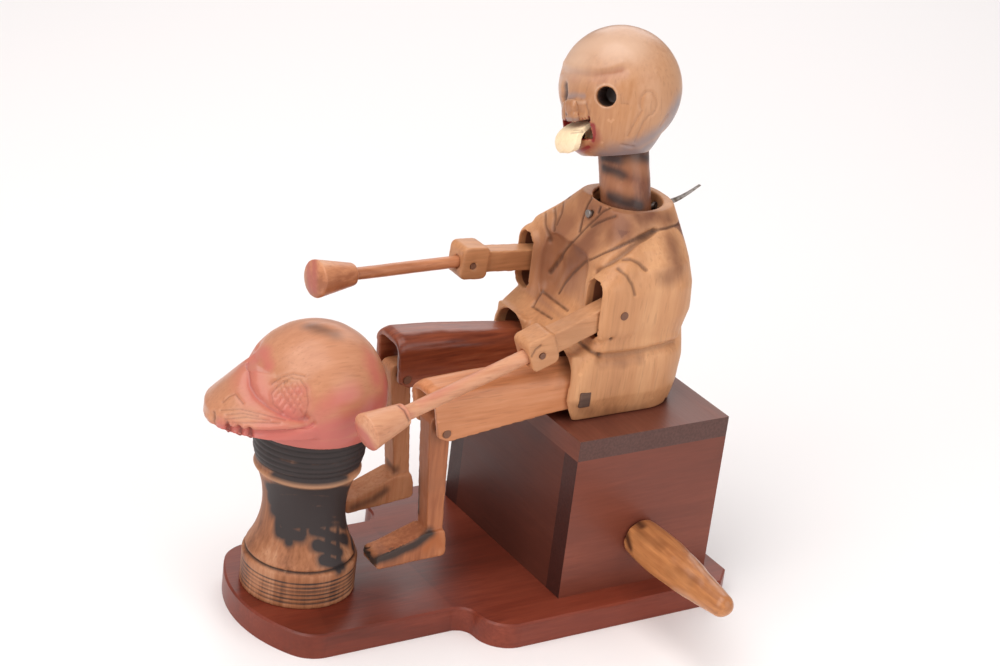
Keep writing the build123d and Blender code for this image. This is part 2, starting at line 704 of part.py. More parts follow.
# Height, middle, half length and half width of the face below the skull.
jaw_levels = (
    (chin_rise, -2.6, 8.6, 8.2), (chin_rise + 3.2, -3.0, 11.4, 11.4), (chin_rise + 8.0, -1.8, 13.4, 14.0),
    (skull_rise - 3.0, 0.0, skull_radius - 0.4, skull_radius - 0.4),
)
with BuildPart() as head:
    for level, middle, long_half, wide_half in jaw_levels:
        with BuildSketch(head_level(level)):
            with Locations((middle, 0)):
                Ellipse(long_half, wide_half)
    loft()
    with Locations(head_level(skull_rise)):
        Sphere(skull_radius)
    with BuildSketch(head_level(nose_rise - nose_height / 2)):
        with Locations((-nose_reach / 2 - 3.0, 0)):
            Rectangle(nose_reach - 6.0, nose_breadth)
    extrude(amount=nose_height)
    with BuildSketch(head_level(chin_rise - 3.0)):
        Circle(neck_radius + set_fit)
    extrude(amount=neck_plug + 3.0, mode=Mode.SUBTRACT)
    for turn in (-eye_turn, eye_turn):
        level = head_level(eye_rise)
        gaze = level.x_dir * -cos(radians(turn)) + level.y_dir * sin(radians(turn))
        socket = level.origin + gaze * (skull_radius - eye_depth)
        with BuildSketch(Plane(origin=socket, x_dir=level.z_dir, z_dir=gaze)):
            Circle(eye_radius)
        extrude(amount=skull_radius, mode=Mode.SUBTRACT)
    with BuildSketch(head_side):
        Polygon(
            (tongue_pin_ahead + tongue_hub, mouth_low), (nose_reach + 2.0, mouth_low),
            (nose_reach + 2.0, mouth_high - 1.4), (tongue_pin_ahead + 2.5, mouth_high + 1.2),
            (tongue_pin_ahead + tongue_hub, mouth_high + 1.2), align=None,
        )
    extrude(amount=mouth_width / 2, both=True, mode=Mode.SUBTRACT)
    with BuildSketch(head_side):
        with Locations((tongue_pin_ahead, tongue_pin_rise)):
            Circle(tongue_hub + tongue_room)
        Polygon(
            (tongue_pin_ahead - tongue_outer - tongue_room, tongue_pin_rise),
            (tongue_pin_ahead + tongue_hub + tongue_room, tongue_pin_rise),
            (tongue_pin_ahead + tongue_hub + tongue_room, tongue_pin_rise + tongue_outer + tongue_room),
            (tongue_pin_ahead - tongue_outer - tongue_room, tongue_pin_rise + tongue_outer + tongue_room),
            align=None,
        )
    extrude(amount=tongue_width / 2 + tongue_room, both=True, mode=Mode.SUBTRACT)
    with BuildSketch(head_side):
        with Locations((tongue_pin_ahead, tongue_pin_rise)):
            Circle(tongue_pin_radius + set_fit)
    extrude(amount=tongue_pin_half, both=True, mode=Mode.SUBTRACT)
save(head.part, "head")

with BuildPart() as tongue_pin:
    with BuildSketch(head_side):
        with Locations((tongue_pin_ahead, tongue_pin_rise)):
            Circle(tongue_pin_radius)
    extrude(amount=tongue_pin_half, both=True)
save(tongue_pin.part, "tongue_pin")

# Curved tongue that slides out along its own curve, on a narrow lever to the pin.
with BuildPart() as tongue:
    with BuildSketch(head_side):
        with BuildLine():
            top_arc = CenterArc(
                (tongue_pin_ahead, tongue_pin_rise), tongue_outer, tongue_tip, tongue_end - tongue_tip
            )
            under_arc = CenterArc(
                (tongue_pin_ahead, tongue_pin_rise), tongue_outer - tongue_thick, tongue_tip,
                tongue_end - tongue_tip,
            )
            Line(top_arc @ 0, under_arc @ 0)
            Line(top_arc @ 1, under_arc @ 1)
        make_face()
    extrude(amount=tongue_width / 2, both=True)
    with BuildSketch(head_side):
        with BuildLine():
            lever_arc = CenterArc(
                (tongue_pin_ahead, tongue_pin_rise), tongue_outer - 0.4, tongue_lever,
                tongue_end - tongue_lever,
            )
            Line(lever_arc @ 1, (tongue_pin_ahead, tongue_pin_rise))
            Line((tongue_pin_ahead, tongue_pin_rise), lever_arc @ 0)
        make_face()
        with Locations((tongue_pin_ahead, tongue_pin_rise)):
            Circle(tongue_hub)
    extrude(amount=lever_half, both=True)
    with BuildSketch(head_side):
        with Locations((tongue_pin_ahead, tongue_pin_rise)):
            Circle(tongue_pin_radius + run_fit)
    extrude(amount=tongue_width, both=True, mode=Mode.SUBTRACT)
save(tongue.part, "tongue")

# Long nail through the collar and the neck, its tail bent up behind the figure.
with BuildPart() as neck_pin:
    with BuildLine():
        bend = (nail_bend, 0, neck_z)
        tail_end = (
            nail_bend + nail_tail * cos(radians(nail_kick)), 0, neck_z + nail_tail * sin(radians(nail_kick))
        )
        FilletPolyline((nail_front, 0, neck_z), bend, tail_end, radius=3.0)
    with BuildSketch(Plane(origin=(nail_front, 0, neck_z), x_dir=(0, 1, 0), z_dir=(1, 0, 0))):
        Circle(nail_radius_neck)
    sweep()
    with BuildSketch(Plane(origin=(nail_front, 0, neck_z), x_dir=(0, 1, 0), z_dir=(-1, 0, 0))):
        Circle(nail_head_radius)
    extrude(amount=nail_head_thick)
save(neck_pin.part, "neck_pin")
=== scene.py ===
import bpy
import math
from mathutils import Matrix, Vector
from mathutils.bvhtree import BVHTree
from mathutils.kdtree import KDTree


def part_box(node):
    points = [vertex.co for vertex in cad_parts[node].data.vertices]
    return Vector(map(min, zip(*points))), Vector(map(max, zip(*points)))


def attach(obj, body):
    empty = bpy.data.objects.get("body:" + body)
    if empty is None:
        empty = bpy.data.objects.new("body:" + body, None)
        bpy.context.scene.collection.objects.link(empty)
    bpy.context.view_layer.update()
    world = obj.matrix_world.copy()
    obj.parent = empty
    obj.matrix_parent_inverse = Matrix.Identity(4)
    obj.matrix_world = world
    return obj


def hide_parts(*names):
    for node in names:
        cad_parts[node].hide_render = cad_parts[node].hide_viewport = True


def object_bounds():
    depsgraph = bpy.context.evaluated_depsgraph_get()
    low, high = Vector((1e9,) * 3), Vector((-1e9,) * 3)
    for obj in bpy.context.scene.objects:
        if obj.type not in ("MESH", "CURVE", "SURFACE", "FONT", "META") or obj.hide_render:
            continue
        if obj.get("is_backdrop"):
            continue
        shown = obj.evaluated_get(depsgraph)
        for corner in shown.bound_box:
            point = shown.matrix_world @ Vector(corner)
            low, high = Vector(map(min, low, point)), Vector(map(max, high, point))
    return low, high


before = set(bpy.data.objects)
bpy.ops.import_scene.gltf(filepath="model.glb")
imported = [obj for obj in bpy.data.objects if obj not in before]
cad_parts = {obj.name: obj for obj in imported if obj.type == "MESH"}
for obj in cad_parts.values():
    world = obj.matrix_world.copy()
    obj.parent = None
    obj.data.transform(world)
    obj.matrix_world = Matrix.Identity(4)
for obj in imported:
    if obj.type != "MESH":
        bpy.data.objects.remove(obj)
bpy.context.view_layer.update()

bpy.ops.object.select_all(action="DESELECT")

# ---------------------------------------------------------------- studio
# The toy stands on a seamless white sheet under big soft lamps, seen from its left and a little above.
bpy.ops.object.camera_add(location=(-0.30525, -0.45780, 0.31574))
camera = bpy.context.object
camera.rotation_euler = (math.radians(65.8425), math.radians(-6.5478), math.radians(-31.1321))
camera.data.lens = 86.15
camera.data.sensor_width = 36.0
camera.data.clip_start = 0.01
bpy.context.scene.camera = camera
picture_lens = 2393.07
picture_middle = (500, 333)

for lamp_name, place, size, power in (
    ("overhead", (-0.30, -0.05, 0.95), 0.9, 7.0),
    ("left_box", (-0.95, -0.35, 0.60), 0.7, 4.4),
    ("near_fill", (0.45, -1.00, 0.50), 0.9, 4.6),
    ("rear_kick", (0.55, 0.70, 0.60), 0.7, 2.6),
):
    bpy.ops.object.light_add(type="AREA", location=place)
    lamp = bpy.context.object
    lamp.name = lamp_name
    lamp.data.size = size
    lamp.data.energy = power
    lamp.data.color = (1.0, 0.985, 0.97)
    lamp.rotation_euler = (Vector((0, 0, 0.06)) - Vector(place)).to_track_quat("-Z", "Y").to_euler()

room = bpy.data.worlds.new("white_room")
bpy.context.scene.world = room
room.use_nodes = True
room_nodes, room_links = room.node_tree.nodes, room.node_tree.links
room_nodes["Background"].inputs["Color"].default_value = (0.97, 0.97, 1.0, 1)
room_nodes["Background"].inputs["Strength"].default_value = 0.36
backdrop = room_nodes.new("ShaderNodeBackground")
backdrop.inputs["Color"].default_value = (1, 0.985, 0.985, 1)
seen = room_nodes.new("ShaderNodeLightPath")
pick = room_nodes.new("ShaderNodeMixShader")
room_links.new(seen.outputs["Is Camera Ray"], pick.inputs[0])
room_links.new(room_nodes["Background"].outputs[0], pick.inputs[1])
room_links.new(backdrop.outputs[0], pick.inputs[2])
room_links.new(pick.outputs[0], room_nodes["World Output"].inputs[0])

bpy.ops.mesh.primitive_plane_add(size=6.0)
floor = bpy.context.object
floor.name = "paper_floor"
floor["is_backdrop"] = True
paper = bpy.data.materials.new("white_paper")
paper.use_nodes = True
paper.node_tree.nodes["Principled BSDF"].inputs["Base Color"].default_value = (0.935, 0.895, 0.885, 1)
paper.node_tree.nodes["Principled BSDF"].inputs["Roughness"].default_value = 0.6
floor.data.materials.append(paper)
bpy.context.scene.view_settings.view_transform = "Standard"

# ---------------------------------------------------------------- base board
# Flat board with a round nose and ogee shoulders, stained dark red-brown and waxed to a satin gloss.
# The grain runs along it, and iron nails hold it from below.


class Finish:
    """A wood finish under construction: its nodes, its shader and the colour that the next coat goes over."""

    def __init__(self, name, run):
        self.made = bpy.data.materials.new(name)
        self.made.use_nodes = True
        self.nodes = self.made.node_tree.nodes
        self.shader = self.nodes["Principled BSDF"]
        self.place = self.add("ShaderNodeTexCoord").outputs["Object"]
        stretch = self.add("ShaderNodeMapping", Vector=self.place)
        stretch.inputs["Scale"].default_value = tuple(0.08 if axis == run else 1.0 for axis in "XYZ")
        self.along = stretch.outputs["Vector"]

    def add(self, kind, **inputs):
        """A node with its inputs set to numbers or linked to other nodes' outputs."""
        node = self.nodes.new(kind)
        for key, value in inputs.items():
            self.wire(node, key.replace("_", " "), value)
        return node

    def wire(self, node, key, value):
        socket = node.inputs[int(key)] if key.isdigit() else node.inputs[key]
        if isinstance(value, bpy.types.NodeSocket):
            self.made.node_tree.links.new(value, socket)
        else:
            socket.default_value = value

    def noise(self, scale, detail=3.0, along=True, distortion=0.0):
        node = self.add("ShaderNodeTexNoise", Vector=self.along if along else self.place)
        node.inputs["Scale"].default_value = scale
        node.inputs["Detail"].default_value = detail
        node.inputs["Distortion"].default_value = distortion
        return node.outputs["Fac"]

    def sums(self, operation, a, b, c=0.0):
        node = self.nodes.new("ShaderNodeMath")
        node.operation = operation
        for index, value in enumerate((a, b, c)):
            self.wire(node, str(index), value)
        return node.outputs[0]

    def span(self, value, low, high, to_low=0.0, to_high=1.0):
        node = self.nodes.new("ShaderNodeMapRange")
        for index, number in enumerate((value, low, high, to_low, to_high)):
            self.wire(node, str(index), number)
        return node.outputs["Result"]

    def coat(self, amount, colour):
        """Lays one more colour over what is there."""
        node = self.nodes.new("ShaderNodeMix")
        node.data_type = "RGBA"
        self.wire(node, "Factor", amount)
        self.wire(node, "A", self.colour)
        self.wire(node, "B", colour if isinstance(colour, bpy.types.NodeSocket) else (*colour, 1))
        self.colour = node.outputs["Result"]

    def mark(self, name):
        node = self.nodes.new("ShaderNodeAttribute")
        node.attribute_name = name
        return node.outputs["Fac"]


def timber(
    name, dark, middle, pale, run="X", figure=60, fibre=1000, rough=0.42, relief=0.15,
    stain_and_shade=(0.06, 0.03, 0.02), paint_and_shade=(0.55, 0.12, 0.10), bloom_and_highlight=(0.72, 0.45, 0.30), grime=0.0, shine=0.0,
    ragged_edge=0.55,
):
    """Wood grain along one axis under its stains, painted colours, painted shade and painted highlights, and
    darker colour in its cuts.
    """
    wood = Finish(name, run)
    broad = wood.noise(figure, 4.0, distortion=0.8)
    fine = wood.noise(fibre)
    pores = wood.noise(fibre * 1.8, 1.0)
    patchy = wood.noise(70, 4.0, along=False)
    grain = wood.sums("MULTIPLY_ADD", fine, 0.40, broad)
    ramp = wood.add("ShaderNodeValToRGB", Fac=grain)
    ramp.color_ramp.elements[0].position = 0.50
    ramp.color_ramp.elements[0].color = (*dark, 1)
    ramp.color_ramp.elements[1].position = 0.92
    ramp.color_ramp.elements[1].color = (*pale, 1)
    ramp.color_ramp.elements.new(0.70).color = (*middle, 1)
    wood.colour = ramp.outputs["Color"]
    wood.coat(wood.span(pores, 0.40, 0.30, 0.0, 0.22), [channel * 0.6 for channel in dark])
    wood.coat(wood.span(patchy, 0.40, 0.72, 0.0, 0.6), [channel * 0.96 for channel in middle])
    # Curvature colour: hollows and creases darker, as painted shade, and sharp ridges paler, as a painted
    # highlight.
    form = wood.add("ShaderNodeNewGeometry")
    wood.coat(
        wood.span(form.outputs["Pointiness"], 0.49, 0.42, 0.0, 0.7), [channel * 0.6 for channel in dark],
    )
    wood.coat(
        wood.span(form.outputs["Pointiness"], 0.53, 0.60, 0.0, 0.5),
        [min(1, channel * 1.08) for channel in pale],
    )
    if grime:
        wood.coat(wood.span(patchy, 0.50, 0.66, 0.0, grime), stain_and_shade)
    worn = wood.sums("ADD", wood.noise(260, 4.0), wood.noise(150, 3.0, along=False))
    worn = wood.sums("MULTIPLY_ADD", worn, ragged_edge, -ragged_edge)
    # Both coats also lay painted shade: on the robe's front, in the drum's crease and under the brow, inside
    # the robe's hollows and down the near shin.
    for coat_name, colour in (("paint_and_shade", paint_and_shade), ("stain_and_shade", stain_and_shade)):
        edge = wood.sums("MULTIPLY", worn, wood.span(wood.mark(coat_name), 0.0, 0.2))
        ragged = wood.sums("ADD", wood.mark(coat_name), edge)
        wood.coat(wood.span(ragged, 0.12, 1.0), colour)
    # This pale coat is also a painted highlight on the forehead and along the nose's root.
    wood.coat(wood.span(wood.mark("bloom_and_highlight"), 0.1, 1.0, 0.0, 0.9), bloom_and_highlight)
    wood.coat(wood.span(wood.mark("groove"), 0.25, 0.95, 0.0, 0.85), [channel * 0.35 for channel in stain_and_shade])
    wood.wire(wood.shader, "Base Color", wood.colour)
    wood.wire(wood.shader, "Roughness", wood.span(broad, 0.3, 0.75, rough - 0.06, rough + 0.12))
    wood.shader.inputs["Specular IOR Level"].default_value = 0.30
    if shine:
        wood.shader.inputs["Coat Weight"].default_value = shine
        wood.shader.inputs["Coat Roughness"].default_value = 0.25
    bump = wood.add("ShaderNodeBump", Height=grain)
    bump.inputs["Strength"].default_value = relief
    bump.inputs["Distance"].default_value = 0.0004
    wood.wire(wood.shader, "Normal", bump.outputs["Normal"])
    return wood.made


def dress(finish, *names):
    """Gives CAD pieces that stay as they are their finish."""
    for name in names:
        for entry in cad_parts[name].material_slots:
            entry.material = finish


base_stain = timber(
    "base_stain", (0.034, 0.005, 0.003), (0.125, 0.017, 0.008), (0.25, 0.050, 0.025),
    figure=75, fibre=1400, rough=0.36, relief=0.10, shine=0.06,
)
dress(base_stain, "base_board")


def iron(name, colour, rough, rust):
    """Drawn wire or nail iron: dull grey, mottled with brown."""
    metal = Finish(name, "Z")
    metal.colour = metal.add("ShaderNodeRGB").outputs[0]
    metal.colour.default_value = (*colour, 1)
    metal.coat(metal.span(metal.noise(700, 4.0, along=False), 0.5, 0.68), rust)
    metal.wire(metal.shader, "Base Color", metal.colour)
    metal.shader.inputs["Metallic"].default_value = 0.9
    metal.wire(
        metal.shader, "Roughness",
        metal.span(metal.noise(300, 2.0, along=False), 0.3, 0.7, rough, rough + 0.2),
    )
    return metal.made


nail_iron = iron("nail_iron", (0.30, 0.27, 0.25), 0.38, (0.10, 0.07, 0.05))
dress(nail_iron, "base_nails", "shaft_collars", "tongue_pin")

# ---------------------------------------------------------------- crank box
# Four thin boards under a loose-grained lid, all stained like the base. End grain shows grey-brown
# on the lid's long edges and purple-black where the side boards meet the front.


def boarded(name, dark, middle, pale, run, end_face, end_colour, **more):
    """A stained board whose end grain has its own darker or greyer tone."""
    made = timber(name, dark, middle, pale, run=run, **more)
    nodes, links = made.node_tree.nodes, made.node_tree.links
    shader = nodes["Principled BSDF"]
    split = nodes.new("ShaderNodeSeparateXYZ")
    links.new(nodes.new("ShaderNodeNewGeometry").outputs["Normal"], split.inputs[0])
    square = nodes.new("ShaderNodeMath")
    square.operation = "POWER"
    square.inputs[1].default_value = 4.0
    links.new(split.outputs[end_face], square.inputs[0])
    over = nodes.new("ShaderNodeMix")
    over.data_type = "RGBA"
    links.new(square.outputs[0], over.inputs["Factor"])
    links.new(shader.inputs["Base Color"].links[0].from_socket, over.inputs["A"])
    speck = nodes.new("ShaderNodeTexNoise")
    speck.inputs["Scale"].default_value = 1500
    where = nodes.new("ShaderNodeTexCoord")
    links.new(where.outputs["Object"], speck.inputs["Vector"])
    tone = nodes.new("ShaderNodeValToRGB")
    tone.color_ramp.elements[0].position = 0.35
    tone.color_ramp.elements[0].color = (*[channel * 0.85 for channel in end_colour], 1)
    tone.color_ramp.elements[1].position = 0.65
    tone.color_ramp.elements[1].color = (*[channel * 1.12 for channel in end_colour], 1)
    links.new(speck.outputs["Fac"], tone.inputs["Fac"])
    links.new(tone.outputs["Color"], over.inputs["B"])
    links.new(over.outputs["Result"], shader.inputs["Base Color"])
    return made


dress(
    boarded("side_stain", (0.050, 0.010, 0.006), (0.135, 0.029, 0.016), (0.23, 0.062, 0.036), "X", "X",
            (0.055, 0.016, 0.012), figure=70, fibre=1300, rough=0.40, shine=0.08),
    "left_side_board", "right_side_board",
)
dress(
    boarded("front_stain", (0.034, 0.008, 0.005), (0.074, 0.016, 0.009), (0.13, 0.036, 0.022), "Y", "Y",
            (0.05, 0.016, 0.011), figure=70, fibre=1300, rough=0.42, shine=0.06),
    "front_board", "back_board",
)
dress(
    boarded("lid_stain", (0.040, 0.010, 0.006), (0.095, 0.025, 0.014), (0.19, 0.058, 0.036), "Y", "Y",
            (0.100, 0.042, 0.033), figure=60, fibre=1200, rough=0.38, shine=0.06),
    "box_lid",
)

# ---------------------------------------------------------------- crank
# A tapered hand grip, whittled and waxed, burnt at its root, on a bent wire shaft with three throws.
# Carved pieces start here: each is worked in millimetres and has its marks where the picture shows them.
per_metre = 1000


def carved_copy(node, body, finish, voxel=0.38, soften=2, ripple=0.15, spacing=5.0, blocks=()):
    """The CAD piece's shape rebuilt in small even faces, softened and rippled as a knife leaves it.
    Blocks are round-edged bars joined on or cut away first: the operation, two corners and an edge radius."""
    bpy.ops.object.select_all(action="DESELECT")
    piece = bpy.data.objects.new(f"carved_{node}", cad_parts[node].data.copy())
    bpy.context.scene.collection.objects.link(piece)
    bpy.context.view_layer.objects.active = piece
    piece.select_set(True)
    bpy.ops.object.mode_set(mode="EDIT")
    bpy.ops.mesh.select_all(action="SELECT")
    bpy.ops.mesh.remove_doubles(threshold=1e-6)
    bpy.ops.object.mode_set(mode="OBJECT")
    for operation, low, high, radius in blocks:
        middle = [(least + most) / (2 * per_metre) for least, most in zip(low, high)]
        reach = [(most - least) / per_metre for least, most in zip(low, high)]
        bpy.ops.object.select_all(action="DESELECT")
        bpy.ops.mesh.primitive_cube_add(size=1, location=middle)
        bar = bpy.context.object
        bar.scale = reach
        bpy.ops.object.transform_apply()
        bpy.ops.object.mode_set(mode="EDIT")
        bpy.ops.mesh.select_all(action="SELECT")
        bpy.ops.mesh.bevel(offset=radius / per_metre, segments=6, affect="EDGES")
        bpy.ops.object.mode_set(mode="OBJECT")
        join = piece.modifiers.new("bar", "BOOLEAN")
        join.operation = operation
        join.object = bar
        bpy.context.view_layer.objects.active = piece
        bpy.ops.object.modifier_apply(modifier="bar")
        bpy.data.objects.remove(bar)
    bpy.ops.object.select_all(action="DESELECT")
    piece.select_set(True)
    even = piece.modifiers.new("even", "REMESH")
    even.mode = "VOXEL"
    even.voxel_size = voxel / per_metre
    soft = piece.modifiers.new("soft", "SMOOTH")
    soft.iterations = soften
    knife = bpy.data.textures.new(f"knife_{node}", "CLOUDS")
    knife.noise_scale = spacing / per_metre
    cuts = piece.modifiers.new("cuts", "DISPLACE")
    cuts.texture = knife
    cuts.texture_coords = "LOCAL"
    cuts.strength = ripple / per_metre
    cuts.mid_level = 0.6
    for modifier in ("even", "soft", "cuts"):
        bpy.ops.object.modifier_apply(modifier=modifier)
    piece.data.materials.clear()
    piece.data.materials.append(finish)
    for polygon in piece.data.polygons:
        polygon.material_index = 0
        polygon.use_smooth = True
    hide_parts(node)
    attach(piece, body)
    return piece


surfaces = {}


def surface(piece):
    if piece.name not in surfaces:
        points = KDTree(len(piece.data.vertices))
        for vertex in piece.data.vertices:
            points.insert(vertex.co, vertex.index)
        points.balance()
        places = [vertex.co.copy() for vertex in piece.data.vertices]
        faces = BVHTree.FromPolygons(places, [tuple(polygon.vertices) for polygon in piece.data.polygons])
        surfaces[piece.name] = faces, points
    return surfaces[piece.name]


def traced(piece, line, step=1.2):
    """Where a line of points on the 1000 by 666 picture falls on a piece, as places and normals."""
    skin = surface(piece)[0]
    turn = camera.rotation_euler.to_matrix()
    found = []
    for (ax, ay), (bx, by) in zip(line, line[1:] or line):
        pieces = max(1, int(math.hypot(bx - ax, by - ay) / step))
        for part in range(pieces + 1):
            px, py = ax + (bx - ax) * part / pieces, ay + (by - ay) * part / pieces
            across, up = (px - picture_middle[0]) / picture_lens, (picture_middle[1] - py) / picture_lens
            ray = turn @ Vector((across, up, -1))
            place, normal, _, _ = skin.ray_cast(camera.location, ray.normalized())
            if place:
                found.append((place, normal))
    return found


def marked(piece, mark):
    """The strength of one mark at each of a piece's points, all nought when it is new."""
    if mark not in piece.data.attributes:
        piece.data.attributes.new(mark, "FLOAT", "POINT")
    return piece.data.attributes[mark].data


def carve(piece, lines, width, depth, mark="groove", amount=1.0):
    """Presses a cut into the surface along each line and marks it. A negative depth raises it instead."""
    mesh = piece.data
    tree = surface(piece)[1]
    near = {}
    for line in lines:
        for place, normal in traced(piece, line):
            for _, index, gap in tree.find_range(place, width / per_metre * 2.2):
                if mesh.vertices[index].normal.dot(normal) > 0.1 and gap < near.get(index, 1.0):
                    near[index] = gap
    normals = {index: mesh.vertices[index].normal.copy() for index in near}
    values = marked(piece, mark) if mark else None
    for index, gap in near.items():
        weight = math.exp(-((gap * per_metre / width) ** 2))
        mesh.vertices[index].co -= normals[index] * (depth / per_metre * weight)
        if mark:
            values[index].value = max(values[index].value, amount * weight)
    mesh.update()


def wash(piece, lines, width, mark, amount):
    """Colours the surface along each line and leaves its shape alone."""
    carve(piece, lines, width, 0.0, mark=mark, amount=amount)


def soaked(piece, low, high, amount):
    """Darkens every point of a piece inside a box given in millimetres, as dirt does, and as painted shade
    where the box fills a hollow.
    """
    values = marked(piece, "stain_and_shade")
    for vertex in piece.data.vertices:
        if all(least < at * per_metre < most for least, at, most in zip(low, vertex.co, high)):
            values[vertex.index].value = max(values[vertex.index].value, amount)


grip_wax = timber(
    "grip_wax", (0.36, 0.13, 0.045), (0.60, 0.25, 0.09), (0.74, 0.36, 0.17), run="Y",
    rough=0.36, stain_and_shade=(0.10, 0.035, 0.015), shine=0.3,
)
grip = carved_copy("crank_grip", "crank", grip_wax, voxel=0.35, ripple=0.5, spacing=7)
grip_root_burns = [[(630, 524), (626, 535), (630, 548)], [(636, 520), (642, 526)]]
carve(grip, grip_root_burns, 1.3, 0.1, mark="stain_and_shade", amount=1.0)
grip_smears = [[(640, 535), (660, 545)], [(668, 572), (690, 580)]]
carve(grip, grip_smears, 2.4, 0.15, mark="stain_and_shade", amount=0.4)
dress(iron("shaft_wire", (0.24, 0.22, 0.21), 0.35, (0.09, 0.06, 0.045)), "crankshaft")

# ---------------------------------------------------------------- drum and stand
# The stand is turned in one piece: burnt rings on its band, a charred waist and a black grooved rim.
# The hollow fish drum on it is carved and painted red, and the paint is rubbed off its crown and beak.
stand_wood = timber(
    "stand_wood", (0.17, 0.056, 0.022), (0.38, 0.150, 0.068), (0.56, 0.28, 0.155), run="Z",
    rough=0.5, stain_and_shade=(0.040, 0.030, 0.029), bloom_and_highlight=(0.60, 0.31, 0.17), ragged_edge=0.9,
)
stand = carved_copy("drum_stand", "frame", stand_wood, voxel=0.4, ripple=0.06)


def ringed(piece, axis, heights, width, depth, mark, amount, rag=0.0, away=False):
    """Rings turned round an upright axis, each a groove or, where the depth is negative, a bead.
    Away leaves out the side that the picture shows, which has its own marks."""
    mesh = piece.data
    values = marked(piece, mark)
    normals = [normal.vector.copy() for normal in mesh.vertex_normals]
    for vertex in mesh.vertices:
        out = Vector((vertex.co.x * per_metre - axis[0], vertex.co.y * per_metre - axis[1], 0))
        if normals[vertex.index].dot(out.normalized()) < 0.3 or (away and out.dot(camera.location) > 0):
            continue
        turn = math.atan2(out.y, out.x)
        sway = rag * (math.sin(3 * turn + 1) + 0.6 * math.sin(7 * turn + 2) + 0.4 * math.sin(13 * turn))
        for height in heights:
            gap = (vertex.co.z * per_metre - height - sway) / width
            if abs(gap) < 3:
                weight = math.exp(-gap * gap)
                vertex.co -= out.normalized() * (depth / per_metre * weight)
                values[vertex.index].value = max(values[vertex.index].value, amount * weight)
    mesh.update()


drum_axis = (-46.4, 2.4)
ringed(stand, drum_axis, [8.3, 9.4, 10.5, 11.6, 12.7, 13.8], 0.27, 0.16, "stain_and_shade", 1.0)
ringed(stand, drum_axis, [16.6], 0.42, 0.55, "groove", 1.0)
ringed(stand, drum_axis, [42.6, 44.1, 45.6, 47.1, 48.6, 50.1], 0.34, 0.20, "groove", 0.9)
ringed(stand, drum_axis, [44.8, 49.2], 2.6, 0.0, "stain_and_shade", 1.8)
ringed(stand, drum_axis, [40.3], 0.8, -0.2, "bloom_and_highlight", 0.8)
ringed(stand, drum_axis, [29.5], 6.5, 0.0, "stain_and_shade", 1.2, rag=2.5, away=True)
scorch = (
    (2.6, 1.5, [[(276, 480), (342, 482)], [(270, 489), (345, 492)]]),
    (2.6, 1.5, [[(272, 499), (346, 502)], [(276, 510), (344, 512)]]),
    (2.2, 1.3, [[(282, 518), (345, 520)]]),
    (1.3, 1.2, [[(277, 505), (278, 530)], [(290, 505), (289, 542)], [(304, 505), (303, 534)]]),
    (1.3, 1.2, [[(327, 505), (328, 560)], [(337, 505), (339, 570)], [(315, 505), (316, 528)]]),
    (1.9, 1.25, [[(284, 524), (345, 524)], [(280, 532), (300, 536)], [(314, 530), (346, 540)]]),
    (1.8, 1.3, [[(318, 545), (340, 552)], [(324, 560), (341, 566)]]),
    (0.9, 1.2, [[(352, 508), (350, 530), (353, 548)]]),
)
for width, amount, lines in scorch:
    wash(stand, lines, width, "stain_and_shade", amount)

drum_paint = timber(
    "drum_paint", (0.46, 0.185, 0.095), (0.54, 0.235, 0.125), (0.62, 0.295, 0.165), run="X", rough=0.36,
    figure=40, stain_and_shade=(0.16, 0.085, 0.06), paint_and_shade=(0.54, 0.145, 0.115), shine=0.25, relief=0.08,
)
drum = carved_copy("fish_drum", "frame", drum_paint, voxel=0.34, ripple=0.3, spacing=8)
crease = [
    (247, 358), (247, 372), (249, 385), (256, 396), (267, 405), (280, 412.5), (293, 417.5), (307, 420),
]
lip = [(206, 415), (214, 422), (227, 425), (248, 429), (267, 429), (287, 427), (300, 424), (311, 421.5)]
roundel = [(272, 393), (280, 384), (290, 378), (300, 379.5), (306.5, 389), (308.3, 403), (305, 418)]
dome_front_red = [[(250, 345), (250, 372), (256, 392), (272, 404), (300, 414)]]
wash(drum, dome_front_red, 5.0, "paint_and_shade", 0.75)
dome_foot_red = [[(262, 436), (300, 434), (330, 428), (360, 418), (385, 400), (386, 385)]]
wash(drum, dome_foot_red, 3.4, "paint_and_shade", 1.0)
jaw_red = [[(222, 430), (250, 438), (300, 440), (340, 434), (362, 425)]]
carve(drum, jaw_red, 3.0, 0.2, mark="paint_and_shade", amount=1.1)
dome_side_red = [[(316, 418), (335, 402), (352, 392)], [(372, 360), (378, 380)]]
wash(drum, dome_side_red, 3.4, "paint_and_shade", 0.75)
cheek_red = [[(282, 395), (300, 392)], [(284, 406), (302, 408)]]
wash(drum, cheek_red, 2.6, "paint_and_shade", 0.55)
crest_red = [[(262, 350), (268, 366)]]
wash(drum, crest_red, 2.4, "paint_and_shade", 0.85)
crown_soot = [[(312, 326), (334, 334)]]
wash(drum, crown_soot, 2.6, "stain_and_shade", 0.75)
ringed(drum, drum_axis, [53.6], 2.6, 0.0, "paint_and_shade", 1.3)
